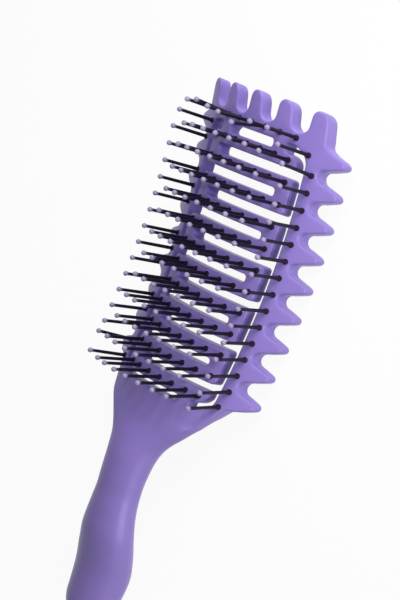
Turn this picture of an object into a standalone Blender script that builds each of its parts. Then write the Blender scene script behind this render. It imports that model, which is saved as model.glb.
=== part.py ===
"""Vented hair brush: an open moulded frame, and strips of ball-tipped pins let into its back.

Lengths are in metres. The head is drawn flat, with its face at height 0 and its depth below, and each
finished flat piece is then lifted onto the curved face of the head. X runs across the head, Y runs from the
handle to the top fins, and Z is the way the pins point. The pieces hang on one empty, which tips the brush
back until it lies on its side fins and on the flat at the back of the handle.
"""

import math

import bmesh
import bpy
from mathutils import Matrix, Vector

MM = 0.001

# Curved face of the head
ACROSS_RADIUS = 53.4 * MM
FACE_HALF_LENGTH = 56.4 * MM
END_RISE = 6.35 * MM
SKEW_RISE = 0.35 * MM

# Rows of pins on the bed
ROW_COUNT = 13
FIRST_PITCH = 8.8 * MM
ROW_PITCH = 9.4 * MM
ROW_PIN_COUNT = 7
PIN_PITCH = 6.85 * MM
BAR_PIN_PITCH = 6.95 * MM

# Bed and its slots, at the face and at the back
RIB_WIDTH = 5.35 * MM
LAST_RIB_WIDTH = 5.8 * MM
RIB_DROP = 0.85 * MM
BAR_BELOW = 3.0 * MM
NECK_BELOW = 5.8 * MM
SLOT_DRAFT = 0.25 * MM
SLOT_CORNER = 1.5 * MM
SLOT_REACH = 17.5 * MM
SLOT_REACH_BACK = 15.2 * MM
HANGER_INNER = 11.9 * MM
HANGER_OUTER = 17.6 * MM
BED_HALF = 23.3 * MM
BED_HALF_BACK = 22.9 * MM
LOOP_CORNER = 1.5 * MM
END_LOOP_CORNER = 4.4 * MM
BED_THICKNESS = 6.5 * MM

# Side rails and their fins
SLIT = 3.3 * MM
SLIT_BACK = 1.7 * MM
SLIT_CORNER = 7.0 * MM
RAIL_WIDTH = 4.65 * MM
RAIL_THICKNESS = 7.6 * MM
FIN_COUNT = 9
FIN_REACH = 8.7 * MM
FIN_LEAD = 4.35 * MM
FIN_TAIL = 3.4 * MM
FIN_TIP_RADIUS = 1.8 * MM
FIN_TIP_THICKNESS = 5.9 * MM
VALLEY_RADIUS = 2.85 * MM
FIN_BELLY = 0.5 * MM
TOP_CORNER_RADIUS = 2.4 * MM
NECK_ROOT_INSET = 0.65 * MM
NECK_ROOT_DROP = 1.55 * MM

# Fins along the top
TOP_FIN_COUNT = 5
TOP_FIN_PITCH = 14.1 * MM
TOP_FIN_REACH = 13.1 * MM
TOP_FIN_WIDTH = 7.0 * MM
TOP_FIN_TIP_WIDTH = 6.3 * MM
TOP_FIN_TIP_LENGTH = 3.7 * MM
TOP_VALLEY = 2.35 * MM
TOP_VALLEY_DEPTH = 3.4 * MM
TOP_FIN_TIP_THICKNESS = 7.5 * MM

# Pins and the strips that carry them
RAIL_PIN_COUNT = 16
RAIL_PIN_LEAD = 4.85 * MM
RAIL_PIN_TAIL = 1.0 * MM
RAIL_PIN_INSET = 1.75 * MM
FIRST_RAIL_PIN_IN = 2.8 * MM
LAST_RAIL_PIN_IN = 1.1 * MM
END_PIN_IN = 0.9 * MM
END_PIN_DROP = 0.6 * MM
PIN_LENGTH = 21.1 * MM
RAIL_PIN_LENGTH = 20.5 * MM
PIN_RADIUS = 0.78 * MM
PIN_TOP_RADIUS = 0.66 * MM
ROOT_RADIUS = 0.95 * MM
ROOT_RISE = 0.9 * MM
BALL_RADIUS = 1.1 * MM
STRIP_WIDTH = 2.2 * MM
RAIL_STRIP_WIDTH = 2.0 * MM
STRIP_END = 1.1 * MM
SKIN = 2.4 * MM
GAP = 0.3 * MM

# Neck and handle
NECK_LENGTH = 7.0 * MM
NECK_HALF_WIDTH = 25.0 * MM
NECK_THIN = 3.0 * MM
HANDLE_LENGTH = 101.8 * MM
HANDLE_HALF_WIDTH = 13.8 * MM
HANDLE_HALF_DEPTH = 11.0 * MM
HANDLE_ARCH = 5.9 * MM
GRIP_FLAT = 0.8 * MM

# Angles
PIN_FAN = math.radians(4.1)
PIN_LEAN = math.radians(-2.2)
PIN_LEAN_CHANGE = math.radians(1.1)
REST_TILT = math.radians(3.2)
FLAT_ANGLE = math.radians(0.5)
BALL_TURN = math.radians(28)

# Where the round valleys next to the neck and the top corner stop, as shares of half a turn
NECK_VALLEY_SHARE = 0.75
TOP_VALLEY_SHARE = 1.12

# Facets
PIN_SIDES = 4
END_STEPS = 2
CORNER_STEPS = 3
FULL_CORNER_SHARE = 0.95
FACET_TURN_SHARE = 0.25
STRAIGHT = 0.001
FILL_SCALE = 1000.0
TOUCH = 0.001 * MM

# Handle stations: share of its length, of its half width, of its arch, of its half depth, and how square
HANDLE_SHARES = (
    (0.065, 1.495, 0.71, 0.57, 0.30),
    (0.111, 1.217, 0.755, 0.70, 0.10),
    (0.157, 0.995, 0.83, 0.79, 0.0),
    (0.215, 0.855, 0.95, 0.823, 0.0),
    (0.273, 0.80, 1.00, 0.802, 0.0),
    (0.330, 0.775, 1.00, 0.78, 0.0),
    (0.388, 0.77, 0.92, 0.773, 0.0),
    (0.446, 0.805, 0.85, 0.80, 0.0),
    (0.504, 0.865, 0.71, 0.85, 0.0),
    (0.561, 0.93, 0.50, 0.914, 0.0),
    (0.650, 0.985, -0.02, 0.985, 0.0),
)
# Stations on the flat of the grip: share of the handle's length, of its half width and of its half depth
GRIP_SHARES = (
    (0.745, 1.0, 1.0),
    (0.865, 0.94, 0.92),
)
# Stations of the rounded end: the same three, and its height above the flat as a share of the half depth
TAIL_SHARES = (
    (0.945, 0.74, 0.70, 0.82),
    (0.985, 0.46, 0.42, 0.86),
    (1.0, 0.16, 0.15, 0.88),
)

# Pins that stand crooked: their line, which pin, and how far the tip leans across and along the head
CROOKED_SHARES = (
    ("row_01", 2, -0.026, 0.054),
    ("row_01", 4, -0.038, -0.035),
    ("row_01", 5, -0.017, -0.133),
    ("rail_right", 1, -0.091, 0.009),
    ("rail_right", 2, -0.084, 0.056),
    ("rail_left", 15, 0.0, 0.119),
    ("rail_left", 16, -0.009, 0.051),
)

LAVENDER = (0.262, 0.202, 0.545, 1.0)
NEAR_BLACK = (0.012, 0.010, 0.018, 1.0)

HALF = 0.5
HALF_TURN = math.pi
QUARTER_TURN = math.pi / 2


def row_y(row):
    """Place along Y of a row, counted from 1 at the top bar."""
    if row == 1:
        return 0.0
    return -FIRST_PITCH - ROW_PITCH * (row - 2)


LAST_ROW_Y = row_y(ROW_COUNT)
RAIL_INNER = BED_HALF + SLIT
RAIL_OUTER = RAIL_INNER + RAIL_WIDTH
RAIL_PIN_X = RAIL_OUTER - RAIL_PIN_INSET
FIN_TIP_X = RAIL_OUTER + FIN_REACH
FIN_PITCH = (-LAST_ROW_Y - FIN_LEAD - FIN_TAIL) / (FIN_COUNT - 1)
BAR_EDGE = -BAR_BELOW
NECK_EDGE = LAST_ROW_Y - NECK_BELOW
NECK_END = NECK_EDGE - NECK_LENGTH


def rib_edges(row, draft):
    """Lower and upper edge of a rib of the bed. The ribs near the bar lie lower than their pins."""
    share = (row - 2) / (ROW_COUNT - 2)
    middle = row_y(row) - RIB_DROP * (1 - share)
    half = (RIB_WIDTH + (LAST_RIB_WIDTH - RIB_WIDTH) * share) / 2 + draft
    return middle - half, middle + half


def face_height(x, y):
    """Height of the head's curved face."""
    along = (y + FACE_HALF_LENGTH) / FACE_HALF_LENGTH
    return END_RISE * along ** 2 + SKEW_RISE * along ** 3 - x ** 2 / (2 * ACROSS_RADIUS)


def neck_thinning(x):
    """How much thinner the neck's end is towards its edges, where the back rises to the face."""
    return NECK_THIN * min(1.0, abs(x) / NECK_HALF_WIDTH) ** 2


def thickness(x, y):
    """Depth of the moulding: the bed is thinner than the rails, and the fins and the neck thin out."""
    if abs(x) < (BED_HALF + RAIL_INNER) / 2 and NECK_EDGE + TOUCH < y < (BAR_EDGE + row_y(2)) / 2:
        return BED_THICKNESS
    side = min(1.0, max(0.0, abs(x) - RAIL_OUTER) / FIN_REACH)
    top = min(1.0, max(0.0, y - TOP_VALLEY) / (TOP_FIN_REACH - TOP_VALLEY))
    neck = min(1.0, max(0.0, LAST_ROW_Y - y) / (LAST_ROW_Y - NECK_END))
    return RAIL_THICKNESS - max((RAIL_THICKNESS - FIN_TIP_THICKNESS) * side,
                                (RAIL_THICKNESS - TOP_FIN_TIP_THICKNESS) * top, neck_thinning(x) * neck)


def arc(x, y, radius_x, radius_y, start, end, steps):
    """Points round an arc, with both of its ends."""
    turns = [start + (end - start) * step / steps for step in range(steps + 1)]
    return [(x + radius_x * math.cos(turn), y + radius_y * math.sin(turn)) for turn in turns]


def flank_turn(reach, half):
    """How far a fin's flank turns from straight out, from its root to where it meets the round tip."""
    return math.atan2(half, reach) - math.asin(FIN_TIP_RADIUS / math.hypot(half, reach))


def fin_outline(tip_y):
    """One side fin from its lower root to its upper root, with X outward."""
    base_x = RAIL_OUTER + VALLEY_RADIUS
    low = FIN_PITCH / 2 - VALLEY_RADIUS + FIN_BELLY / 2
    high = FIN_PITCH / 2 - VALLEY_RADIUS - FIN_BELLY / 2
    reach = FIN_TIP_X - FIN_TIP_RADIUS - base_x
    tip = arc(FIN_TIP_X - FIN_TIP_RADIUS, tip_y, FIN_TIP_RADIUS, FIN_TIP_RADIUS,
              flank_turn(reach, low) - QUARTER_TURN, QUARTER_TURN - flank_turn(reach, high), CORNER_STEPS)
    return [(base_x, tip_y - low)] + tip + [(base_x, tip_y + high)]


def valley_outline(y, start, end, steps):
    """The round valley between two side fins, with X outward."""
    half = min(VALLEY_RADIUS, FIN_PITCH / 2)
    return arc(RAIL_OUTER + VALLEY_RADIUS, y - FIN_BELLY / 2, VALLEY_RADIUS, half, start, end, steps)[1:-1]


def side_outline():
    """The right side of the head from the neck to the first side fin."""
    neck_valley = -FIN_LEAD - FIN_PITCH * (FIN_COUNT - HALF)
    points = [(NECK_HALF_WIDTH, NECK_END), (RAIL_OUTER - NECK_ROOT_INSET, neck_valley + NECK_ROOT_DROP)]
    points += valley_outline(neck_valley, HALF_TURN * NECK_VALLEY_SHARE, QUARTER_TURN, CORNER_STEPS)
    for fin in reversed(range(FIN_COUNT)):
        tip_y = -FIN_LEAD - FIN_PITCH * fin
        points += fin_outline(tip_y)
        above = tip_y + FIN_PITCH / 2
        if fin > 0:
            points += valley_outline(above, 3 * QUARTER_TURN, QUARTER_TURN, 2 * CORNER_STEPS)
        else:
            points += arc(RAIL_OUTER + VALLEY_RADIUS, above - FIN_BELLY / 2, TOP_CORNER_RADIUS,
                          TOP_CORNER_RADIUS, 3 * QUARTER_TURN, HALF_TURN * TOP_VALLEY_SHARE, CORNER_STEPS)
    return points


def top_outline():
    """The top fins and the valleys between them, from right to left."""
    points = []
    half_count = (TOP_FIN_COUNT - 1) / 2
    base_y = TOP_VALLEY + TOP_VALLEY_DEPTH
    for fin in range(TOP_FIN_COUNT):
        centre = TOP_FIN_PITCH * (half_count - fin)
        points.append((centre + TOP_FIN_WIDTH / 2, base_y))
        points += arc(centre, TOP_FIN_REACH - TOP_FIN_TIP_LENGTH, TOP_FIN_TIP_WIDTH / 2,
                      TOP_FIN_TIP_LENGTH, 0.0, HALF_TURN, 2 * CORNER_STEPS)
        points.append((centre - TOP_FIN_WIDTH / 2, base_y))
        if fin < TOP_FIN_COUNT - 1:
            points += arc(centre - TOP_FIN_PITCH / 2, base_y, (TOP_FIN_PITCH - TOP_FIN_WIDTH) / 2,
                          TOP_VALLEY_DEPTH, 0.0, -HALF_TURN, 2 * CORNER_STEPS)[1:-1]
    return points


def neck_shares():
    """Places across the neck's end as shares of its half width: its corners and the creases."""
    shares = sorted(line / NECK_HALF_WIDTH for line in lines_across())
    return [-1.0] + [share for share in shares if abs(share) < 1.0] + [1.0]


def head_outline():
    """The whole outline of the head. The points across the neck's end come last, from left to right."""
    right = side_outline()
    left = [(-x, y) for x, y in reversed(right)]
    neck = [(share * NECK_HALF_WIDTH, NECK_END) for share in neck_shares()[1:-1]]
    return right + top_outline() + left + neck


def comb_outline(side, back):
    """One slit with the slots that open into it, at the face or at the back of the bed."""
    draft = SLOT_DRAFT if back else 0.0
    reach = SLOT_REACH_BACK if back else SLOT_REACH
    bed = BED_HALF_BACK if back else BED_HALF
    rail = bed + (SLIT_BACK if back else SLIT)
    straight_end = bed - END_LOOP_CORNER
    top = BAR_EDGE - draft
    bottom = NECK_EDGE + draft
    first_slot = ROW_COUNT - 1 if side > 0 else ROW_COUNT - 2
    corner = min(SLIT_CORNER, (rail - HANGER_OUTER - draft - SLOT_CORNER) * FULL_CORNER_SHARE)

    points = arc(rail - corner, top - corner, corner, corner, QUARTER_TURN, 0.0, 2 * CORNER_STEPS)
    points += arc(rail - corner, bottom + corner, corner, corner, 0.0, -QUARTER_TURN, 2 * CORNER_STEPS)
    low_edge = bottom
    end = HANGER_OUTER + draft if side > 0 else -HANGER_INNER + draft
    block_low = ROW_COUNT
    for slot in list(range(first_slot, 0, -2)) + [1] * (side > 0):
        high_edge = rib_edges(block_low, draft)[0]
        points += slot_end(end, low_edge, high_edge, straight_end - end)
        low_edge = rib_edges(slot + 1, draft)[1]
        points += block_side(bed, block_low, slot + 1, draft)
        block_low = slot
        end = -reach
    end = HANGER_OUTER + draft
    points += slot_end(end, low_edge, top, straight_end - end)
    return [(side * x, y) for x, y in points]


def slot_end(x, low, high, room):
    """The closed end of a slot, from its lower edge to its upper edge, with corners that fit in the room."""
    corner = min(SLOT_CORNER, FULL_CORNER_SHARE * min((high - low) / 2, room))
    points = arc(x + corner, low + corner, corner, corner, -QUARTER_TURN, -HALF_TURN, END_STEPS)
    return points + arc(x + corner, high - corner, corner, corner, HALF_TURN, QUARTER_TURN, END_STEPS)


def block_side(x, first, last, draft):
    """The outer side of a loop of the bed, from its lower corner to its upper one."""
    low = rib_edges(first, draft)[0]
    high = rib_edges(last, draft)[1]
    at_neck = END_LOOP_CORNER if first == ROW_COUNT else LOOP_CORNER
    at_bar = END_LOOP_CORNER if last == 2 else LOOP_CORNER
    room = (high - low) / (at_neck + at_bar) * FULL_CORNER_SHARE
    lower = at_neck * min(1.0, room)
    upper = at_bar * min(1.0, room)
    points = arc(x - lower, low + lower, lower, lower, -QUARTER_TURN, 0.0, CORNER_STEPS)
    return points + arc(x - upper, high - upper, upper, upper, 0.0, QUARTER_TURN, CORNER_STEPS)


def first_slot_outline(back):
    """The slot between the top bar and the second row, closed at both ends."""
    draft = SLOT_DRAFT if back else 0.0
    low = rib_edges(2, draft)[1]
    high = BAR_EDGE - draft
    left = slot_end(draft - HANGER_INNER, low, high, HANGER_INNER)
    return left + [(-x, y) for x, y in reversed(left)]


def pin_places(row):
    """Where the pins of a row stand."""
    pitch = BAR_PIN_PITCH if row == 1 else PIN_PITCH
    half = (ROW_PIN_COUNT - 1) / 2
    places = [((pin - half) * pitch, row_y(row)) for pin in range(ROW_PIN_COUNT)]
    if row in (2, ROW_COUNT):
        y = row_y(row) - (END_PIN_DROP if row == 2 else 0.0)
        end = half * pitch - END_PIN_IN
        places = [(-end, y)] + places[1:-1] + [(end, y)]
    return places


def rail_pin_places(side):
    """Where the pins of a rail stand."""
    last = LAST_ROW_Y - RAIL_PIN_TAIL
    step = (-last - RAIL_PIN_LEAD) / (RAIL_PIN_COUNT - 1)
    insets = [FIRST_RAIL_PIN_IN] + [0.0] * (RAIL_PIN_COUNT - 2) + [LAST_RAIL_PIN_IN]
    return [(side * (RAIL_PIN_X - inset), -RAIL_PIN_LEAD - step * pin) for pin, inset in enumerate(insets)]


def strip_outline(places, width, margin):
    """The outline of a strip under a line of pins, grown by a margin. It bends where the line bends."""
    half = width / 2 + margin
    end = STRIP_END + margin
    pins = [Vector(place) for place in places]
    ways = [(after - before).normalized() for before, after in zip(pins, pins[1:])]
    line = [(pins[0] - ways[0] * end, ways[0], ways[0])]
    for pin, before, after in zip(pins[1:], ways, ways[1:]):
        if abs(before.cross(after)) > STRAIGHT:
            line.append((pin, before, after))
    line.append((pins[-1] + ways[-1] * end, ways[-1], ways[-1]))
    right = []
    left = []
    for place, before, after in line:
        side = Vector((before.y + after.y, -before.x - after.x)) * half / (1 + before.dot(after))
        right.append(tuple(place + side))
        left.append(tuple(place - side))
    return right + left[::-1]


def circle(place, radius, index=0):
    """A round hole or root, drawn with few sides. Every other one in a line is turned half a side."""
    start = HALF_TURN / PIN_SIDES * (index % 2 + FACET_TURN_SHARE)
    return arc(place[0], place[1], radius, radius, start, start + 2 * HALF_TURN, PIN_SIDES)[:-1]


def line_of_pins():
    """Every line of pins: its name, the places of its pins, its strip's width and its pins' length."""
    lines = []
    for row in range(1, ROW_COUNT + 1):
        lines.append((f"row_{row:02d}", pin_places(row), STRIP_WIDTH, PIN_LENGTH))
    lines.append(("rail_left", rail_pin_places(-1), RAIL_STRIP_WIDTH, RAIL_PIN_LENGTH))
    lines.append(("rail_right", rail_pin_places(1), RAIL_STRIP_WIDTH, RAIL_PIN_LENGTH))
    return lines


def add_ring(bm, outline, level):
    """Points of an outline at one level."""
    return [bm.verts.new((x, y, level)) for x, y in outline]


def fill(bm, rings):
    """A flat surface inside the first ring and outside the others, filled at a larger scale."""
    edges = []
    points = [vert for ring in rings for vert in ring]
    bmesh.ops.scale(bm, vec=Vector((FILL_SCALE,) * 3), verts=points)
    for ring in rings:
        for first, second in zip(ring, ring[1:] + ring[:1]):
            edge = bm.edges.get((first, second))
            edges.append(edge or bm.edges.new((first, second)))
    bmesh.ops.triangle_fill(bm, use_beauty=True, use_dissolve=False, edges=edges)
    bmesh.ops.scale(bm, vec=Vector((1 / FILL_SCALE,) * 3), verts=points)


def wall(bm, upper, lower, open_from=None):
    """A band of faces between two rings, left open from one of its points on."""
    count = len(upper)
    for index in range(count):
        if open_from is not None and index >= open_from:
            continue
        after = (index + 1) % count
        bm.faces.new((upper[index], upper[after], lower[after], lower[index]))


def lines_across():
    """Places across the head where its face is creased: between the pins, in the slits, on the fins."""
    half = (ROW_PIN_COUNT - 2) / 2
    lines = [(line - half) * PIN_PITCH for line in range(ROW_PIN_COUNT - 1)]
    for side in (-1, 1):
        lines.append(side * (BED_HALF + SLIT / 2))
        lines.append(side * (RAIL_OUTER + VALLEY_RADIUS / 2))
    return lines


def lines_along():
    """Places along the head where the curved face is creased: between every other pair of rail pins."""
    places = [y for x, y in rail_pin_places(1)]
    return [(first + second) / 2 for first, second in zip(places[::2], places[1::2])]


def on_line(first, second, lines):
    """Whether an edge lies along one of the lines, from the places of its two ends across them."""
    return abs(first - second) < TOUCH and any(abs(first - line) < TOUCH for line in lines)


def tidy_cells(bm, across, along):
    """Join the flat faces between the lines, and drop the points that this leaves unused."""
    loose = []
    for edge in bm.edges:
        first, second = (vert.co for vert in edge.verts)
        if not on_line(first.x, second.x, across) and not on_line(first.y, second.y, along):
            loose.append(edge)
    bmesh.ops.dissolve_limit(bm, angle_limit=FLAT_ANGLE, verts=bm.verts[:], edges=loose)


def lift(bm, across, along):
    """Crease a flat piece along the lines and raise it onto the curved face of the head."""
    for normal, lines in ((Vector((1, 0, 0)), across), (Vector((0, 1, 0)), along)):
        for line in lines:
            geometry = bm.verts[:] + bm.edges[:] + bm.faces[:]
            bmesh.ops.bisect_plane(bm, geom=geometry, dist=TOUCH, plane_co=normal * line, plane_no=normal)
    bmesh.ops.recalc_face_normals(bm, faces=bm.faces[:])
    tidy_cells(bm, across, along)
    bmesh.ops.triangulate(bm, faces=bm.faces[:])
    for vert in bm.verts:
        x, y, depth = vert.co.x, vert.co.y, -vert.co.z
        if depth > SKIN + GAP + TOUCH:
            stretch = (thickness(x, y) - SKIN) / (RAIL_THICKNESS - SKIN)
            depth = SKIN + (depth - SKIN) * stretch
        vert.co.z = face_height(x, y) - depth


def rest_height(y, level):
    """Height of the plane that the brush lies on, before the brush is tipped back."""
    return level - y * math.tan(REST_TILT)


def section_angles(count):
    """Angles round one half of a handle section, from left to right."""
    half_side = HALF_TURN / (2 * count)
    step = (HALF_TURN - 2 * half_side) / (count - 1)
    return [HALF_TURN - half_side - step * index for index in range(count)]


def handle_sections(level):
    """Each station of the handle: its place, half width, centre height, half depth and squareness."""
    sections = []
    for along, width, arch, depth, square in HANDLE_SHARES:
        sections.append((NECK_END - along * HANDLE_LENGTH, width * HANDLE_HALF_WIDTH,
                         arch * HANDLE_ARCH, depth * HANDLE_HALF_DEPTH, square))
    for along, width, depth in GRIP_SHARES:
        y = NECK_END - along * HANDLE_LENGTH
        half_depth = depth * HANDLE_HALF_DEPTH
        sections.append((y, width * HANDLE_HALF_WIDTH,
                         rest_height(y, level) + half_depth - GRIP_FLAT, half_depth, 0.0))
    for along, width, depth, rise in TAIL_SHARES:
        y = NECK_END - along * HANDLE_LENGTH
        centre = rest_height(y, level) + HANDLE_HALF_DEPTH * rise
        sections.append((y, width * HANDLE_HALF_WIDTH, centre, depth * HANDLE_HALF_DEPTH, 0.0))
    return sections


def add_handle(bm, ring, level):
    """Loft the handle from the neck's open end, whose ring holds its upper then its lower points."""
    shares = neck_shares()
    count = len(shares)
    angles = section_angles(count)
    last_ring = ring
    for y, half_width, centre, half_depth, square in handle_sections(level):
        floor = rest_height(y, level)
        upper = []
        lower = []
        for share, angle in zip(shares, angles):
            x = half_width * (square * share + (1 - square) * math.cos(angle))
            bulge = half_depth * (square + (1 - square) * math.sin(angle))
            sink = square * x ** 2 / (2 * ACROSS_RADIUS)
            upper.append(bm.verts.new((x, y, centre + bulge - sink)))
            rise = square * neck_thinning(share * NECK_HALF_WIDTH)
            lower.append(bm.verts.new((x, y, max(floor, centre - bulge - sink + rise))))
        new_ring = upper + lower[::-1]
        wall(bm, last_ring, new_ring)
        last_ring = new_ring
    bm.faces.new(last_ring)


def finish(bm, name, material, parent):
    """Turn a piece into an object under its parent."""
    bmesh.ops.recalc_face_normals(bm, faces=bm.faces[:])
    bmesh.ops.triangulate(bm, faces=bm.faces[:])
    mesh = bpy.data.meshes.new(name)
    bm.to_mesh(mesh)
    bm.free()
    mesh.materials.append(material)
    obj = bpy.data.objects.new(name, mesh)
    bpy.context.scene.collection.objects.link(obj)
    obj.parent = parent
    return obj


def make_frame(lines, material, parent):
    """The moulding, and the level of the plane that its side fins touch."""
    bm = bmesh.new()
    outline = head_outline()
    neck_start = len(outline) - len(neck_shares()) + 1
    face = add_ring(bm, outline, 0.0)
    back = add_ring(bm, outline, -RAIL_THICKNESS)
    wall(bm, face, back, neck_start)
    face_rings = [face]
    back_rings = [back]
    openings = [(comb_outline(side, False), comb_outline(side, True)) for side in (1, -1)]
    openings.append((first_slot_outline(False), first_slot_outline(True)))
    for at_face, at_back in openings:
        upper = add_ring(bm, at_face, 0.0)
        lower = add_ring(bm, at_back, -RAIL_THICKNESS)
        wall(bm, upper, lower)
        face_rings.append(upper)
        back_rings.append(lower)
    for name, places, width, length in lines:
        channel = strip_outline(places, width, GAP)
        ceiling = add_ring(bm, channel, -SKIN)
        mouth = add_ring(bm, channel, -RAIL_THICKNESS)
        wall(bm, ceiling, mouth)
        back_rings.append(mouth)
        ceiling_rings = [ceiling]
        for index, place in enumerate(places):
            hole = circle(place, ROOT_RADIUS + GAP, index)
            upper = add_ring(bm, hole, 0.0)
            lower = add_ring(bm, hole, -SKIN)
            wall(bm, upper, lower)
            face_rings.append(upper)
            ceiling_rings.append(lower)
        fill(bm, ceiling_rings)
    fill(bm, face_rings)
    fill(bm, back_rings)
    lift(bm, lines_across(), lines_along())
    level = min(vert.co.z + vert.co.y * math.tan(REST_TILT) for vert in bm.verts)
    end = [vert for vert in bm.verts if abs(vert.co.y - NECK_END) < TOUCH]
    upper = [v for v in end if v.co.z > face_height(v.co.x, v.co.y) - SKIN]
    lower = [v for v in end if v not in upper]
    upper.sort(key=lambda vert: vert.co.x)
    lower.sort(key=lambda vert: -vert.co.x)
    add_handle(bm, upper + lower, level)
    return finish(bm, "frame", material, parent), level


def pin_direction(name, index, x, y):
    """The way a pin points: out to the sides, and a little towards the handle. A few stand crooked."""
    along = (y + FACE_HALF_LENGTH) / FACE_HALF_LENGTH
    way = Vector((math.tan(PIN_FAN) * x / RAIL_PIN_X, math.tan(PIN_LEAN + PIN_LEAN_CHANGE * along), 1.0))
    for line, number, across, forward in CROOKED_SHARES:
        if line == name and number == index + 1:
            way += Vector((across, forward, 0.0))
    return way.normalized()


def make_strip(line, material, parent):
    """A strip with its pins: each root passes a hole of the frame and carries a thinner pin with a ball."""
    name, places, width, length = line
    bm = bmesh.new()
    outline = strip_outline(places, width, 0.0)
    upper = add_ring(bm, outline, -SKIN - GAP)
    lower = add_ring(bm, outline, -RAIL_THICKNESS + GAP)
    wall(bm, upper, lower)
    fill(bm, [lower])
    rings = [upper]
    tops = []
    for index, place in enumerate(places):
        foot = add_ring(bm, circle(place, ROOT_RADIUS, index), -SKIN - GAP)
        shoulder = add_ring(bm, circle(place, ROOT_RADIUS, index), ROOT_RISE)
        start = add_ring(bm, circle(place, PIN_RADIUS, index), ROOT_RISE)
        wall(bm, foot, shoulder)
        wall(bm, shoulder, start)
        rings.append(foot)
        tops.append([vert.co.copy() for vert in start])
    fill(bm, rings)
    if name.startswith("row"):
        lift(bm, lines_across(), [])
    else:
        lift(bm, [], lines_along())
    for index, (place, start) in enumerate(zip(places, tops)):
        base = []
        for point in start:
            near = [v for v in bm.verts if (v.co.xy - point.xy).length < TOUCH]
            base.append(max(near, key=lambda vert: vert.co.z))
        root = Vector((place[0], place[1], face_height(*place)))
        add_ball(bm, base, root + pin_direction(name, index, *place) * length, index)
    return finish(bm, "pins_" + name, material, parent)


def add_ball(bm, base, centre, index):
    """The pin from its base ring up to its ball, and the ball round the given centre."""
    last_ring = base
    for turn in (-math.acos(PIN_TOP_RADIUS / BALL_RADIUS), -BALL_TURN, BALL_TURN):
        radius = BALL_RADIUS * math.cos(turn)
        height = centre.z + BALL_RADIUS * math.sin(turn)
        outline = circle((centre.x, centre.y), radius, index)
        ring = [bm.verts.new((x, y, height)) for x, y in outline]
        wall(bm, ring, last_ring)
        last_ring = ring
    crown = bm.verts.new((centre.x, centre.y, centre.z + BALL_RADIUS))
    for first, second in zip(last_ring, last_ring[1:] + last_ring[:1]):
        bm.faces.new((first, second, crown))


def make_material(name, colour, roughness):
    """A plain plastic."""
    material = bpy.data.materials.new(name)
    material.use_nodes = True
    shader = material.node_tree.nodes["Principled BSDF"]
    shader.inputs["Base Color"].default_value = colour
    shader.inputs["Roughness"].default_value = roughness
    shader.inputs["Metallic"].default_value = 0.0
    return material


def main():
    for obj in list(bpy.data.objects):
        bpy.data.objects.remove(obj, do_unlink=True)
    lavender = make_material("lavender_plastic", LAVENDER, 0.35)
    nylon = make_material("black_nylon", NEAR_BLACK, 0.35)

    rest = bpy.data.objects.new("rest", None)
    bpy.context.scene.collection.objects.link(rest)
    lines = line_of_pins()
    frame, level = make_frame(lines, lavender, rest)
    for line in lines:
        make_strip(line, nylon, rest)

    turn = Matrix.Rotation(REST_TILT, 4, "X")
    ends = [(turn @ vert.co).y for vert in frame.data.vertices]
    middle = (min(ends) + max(ends)) / 2
    down = level * math.cos(REST_TILT)
    rest.matrix_world = Matrix.Translation((0.0, -middle, -down)) @ turn


main()
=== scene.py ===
"""Looks of the vented hair brush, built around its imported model.

Shapes are drawn in millimetres in the head's own frame, as in the part's source: the head is a flat pattern
with its face at depth 0, lifted onto the curved face. X runs across the head, Y from the handle to the top
fins, and Z the way the pins point. to_world() turns them into the row frame, in metres.
"""

import math

import bmesh
import bpy
import numpy as np
from mathutils import Matrix, Vector
from mathutils.geometry import delaunay_2d_cdt


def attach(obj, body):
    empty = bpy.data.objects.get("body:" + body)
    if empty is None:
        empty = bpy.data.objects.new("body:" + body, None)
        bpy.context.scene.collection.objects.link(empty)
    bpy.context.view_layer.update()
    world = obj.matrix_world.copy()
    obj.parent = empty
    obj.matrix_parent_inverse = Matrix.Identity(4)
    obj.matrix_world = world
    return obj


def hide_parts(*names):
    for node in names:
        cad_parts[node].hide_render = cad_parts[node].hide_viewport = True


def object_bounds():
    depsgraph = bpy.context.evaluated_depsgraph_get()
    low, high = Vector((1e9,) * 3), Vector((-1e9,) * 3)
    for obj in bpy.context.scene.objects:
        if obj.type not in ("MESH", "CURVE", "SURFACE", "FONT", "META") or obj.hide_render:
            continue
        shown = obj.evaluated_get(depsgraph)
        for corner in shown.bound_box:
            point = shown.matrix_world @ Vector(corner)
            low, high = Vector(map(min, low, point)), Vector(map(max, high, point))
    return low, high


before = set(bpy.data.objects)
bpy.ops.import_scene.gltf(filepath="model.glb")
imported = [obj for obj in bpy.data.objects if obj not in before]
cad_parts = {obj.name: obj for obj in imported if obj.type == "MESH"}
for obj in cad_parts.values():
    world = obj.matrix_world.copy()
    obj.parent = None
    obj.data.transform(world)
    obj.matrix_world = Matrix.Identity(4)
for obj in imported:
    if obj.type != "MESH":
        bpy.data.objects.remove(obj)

cad_low, cad_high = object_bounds()

MM = 0.001

# The head's frame in the row frame
REST_TILT = math.radians(3.2)
REST_SHIFT = (0.0, 106.54401, 24.29706)

# Curved face of the head
ACROSS_RADIUS = 53.4
FACE_HALF_LENGTH = 56.4
END_RISE = 6.35
SKEW_RISE = 0.35

# Rows of pins
ROW_COUNT = 13
FIRST_PITCH = 8.8
ROW_PITCH = 9.4
ROW_PIN_COUNT = 7
PIN_PITCH = 6.85
BAR_PIN_PITCH = 6.95

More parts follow.
